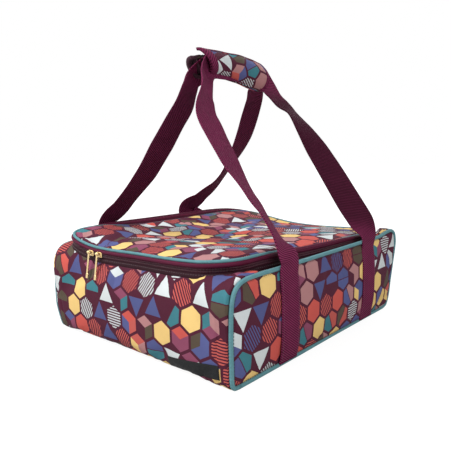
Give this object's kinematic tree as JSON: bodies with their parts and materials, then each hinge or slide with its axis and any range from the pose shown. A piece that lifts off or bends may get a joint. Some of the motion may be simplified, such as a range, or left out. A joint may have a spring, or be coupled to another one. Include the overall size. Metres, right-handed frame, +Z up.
{
  "type": "casserole carrier",
  "caption": "Soft insulated box-shaped carrier for a casserole dish, with a zipped hinged lid and webbing handles that meet in a padded grip.",
  "frame": {"origin": "on the floor under the middle of the bag, on the flat underside of the base panel", "axes": "+Z up; -Y out of the zipped front; +Y to the hinged back; +X and -X out of the strapped side panels"},
  "size_m": [0.3083, 0.3653, 0.3469],
  "materials": {
    "print_cloth": "dark burgundy polyester printed with small flat shapes",
    "webbing": "ribbed maroon webbing",
    "zip_tape": "woven maroon zip tape",
    "zip_coil": "nylon coil",
    "piping": "dull teal corded piping",
    "foam": "closed-cell insulating foam",
    "lining": "silver foil-faced lining",
    "board": "stiff base board",
    "gold_metal": "polished gold-tone metal",
    "label": "bare black woven label",
    "hook_and_loop": "hook-and-loop fastener"
  },
  "bodies": {
    "bag": {"front_panel": "print_cloth", "base_panel": "print_cloth", "back_panel": "print_cloth", "left_top_margin": "print_cloth", "right_top_margin": "print_cloth", "left_side_panel": "print_cloth", "right_side_panel": "print_cloth", "front_foam": "foam", "base_foam": "foam", "back_foam": "foam", "left_side_foam": "foam", "right_side_foam": "foam", "lining_tub": "lining", "base_board": "board", "left_piping": "piping", "right_piping": "piping", "left_front_strap_foot": "webbing", "left_rear_strap_foot": "webbing", "right_front_strap_foot": "webbing", "right_rear_strap_foot": "webbing", "lower_zip_tape": "zip_tape", "lower_zip_coil": "zip_coil", "left_zip_stop": "gold_metal", "right_zip_stop": "gold_metal", "back_rim": "zip_tape", "hinge_binding": "zip_tape", "front_label": "label"},
    "lid": {"upper_zip_coil": "zip_coil", "upper_zip_tape": "zip_tape", "lid_back_band": "zip_tape", "lid_piping": "piping", "lid_panel": "print_cloth", "lid_foam": "foam", "lid_lining": "lining"},
    "right_handle": {"right_strap_loop": "webbing", "right_grip_cover": "print_cloth", "right_grip_padding": "foam", "right_grip_binding": "webbing", "right_hook_strip": "hook_and_loop"},
    "left_handle": {"left_strap_loop": "webbing", "left_grip_cover": "print_cloth", "left_grip_padding": "foam", "left_grip_binding": "webbing", "left_loop_strip": "hook_and_loop"},
    "left_slider": {"left_slider": "gold_metal"},
    "right_slider": {"right_slider": "gold_metal"},
    "left_pull": {"left_pull": "gold_metal"},
    "right_pull": {"right_pull": "gold_metal"}
  },
  "joints": [
    {"name": "lid_hinge", "type": "hinge", "parent": "bag", "child": "lid", "pos_m": [0, 0.174, 0.106], "axis": [-1, 0, 0], "range_deg": [0, 90]},
    {"name": "right_handle_swing", "type": "hinge", "parent": "bag", "child": "right_handle", "pos_m": [0.154, 0, 0.113], "axis": [0, 1, 0], "range_deg": [0, 144]},
    {"name": "left_handle_swing", "type": "hinge", "parent": "bag", "child": "left_handle", "pos_m": [-0.154, 0, 0.113], "axis": [0, -1, 0], "range_deg": [0, 144]},
    {"name": "left_slider_run", "type": "slide", "parent": "bag", "child": "left_slider", "axis": [-1, 0, 0], "range_m": [0, 0.012]},
    {"name": "right_slider_run", "type": "slide", "parent": "bag", "child": "right_slider", "axis": [1, 0, 0], "range_m": [0, 0.148]},
    {"name": "left_pull_flip", "type": "hinge", "parent": "left_slider", "child": "left_pull", "pos_m": [-0.077, -0.1794, 0.1075], "axis": [-1, 0, 0], "range_deg": [0, 150]},
    {"name": "right_pull_flip", "type": "hinge", "parent": "right_slider", "child": "right_pull", "pos_m": [-0.0605, -0.1794, 0.1075], "axis": [-1, 0, 0], "range_deg": [0, 150]}
  ],
  "couplings": [
    {"joint": "right_handle_swing", "follows": "lid_hinge", "ratio": 1.6},
    {"joint": "left_handle_swing", "follows": "lid_hinge", "ratio": 1.6}
  ]
}
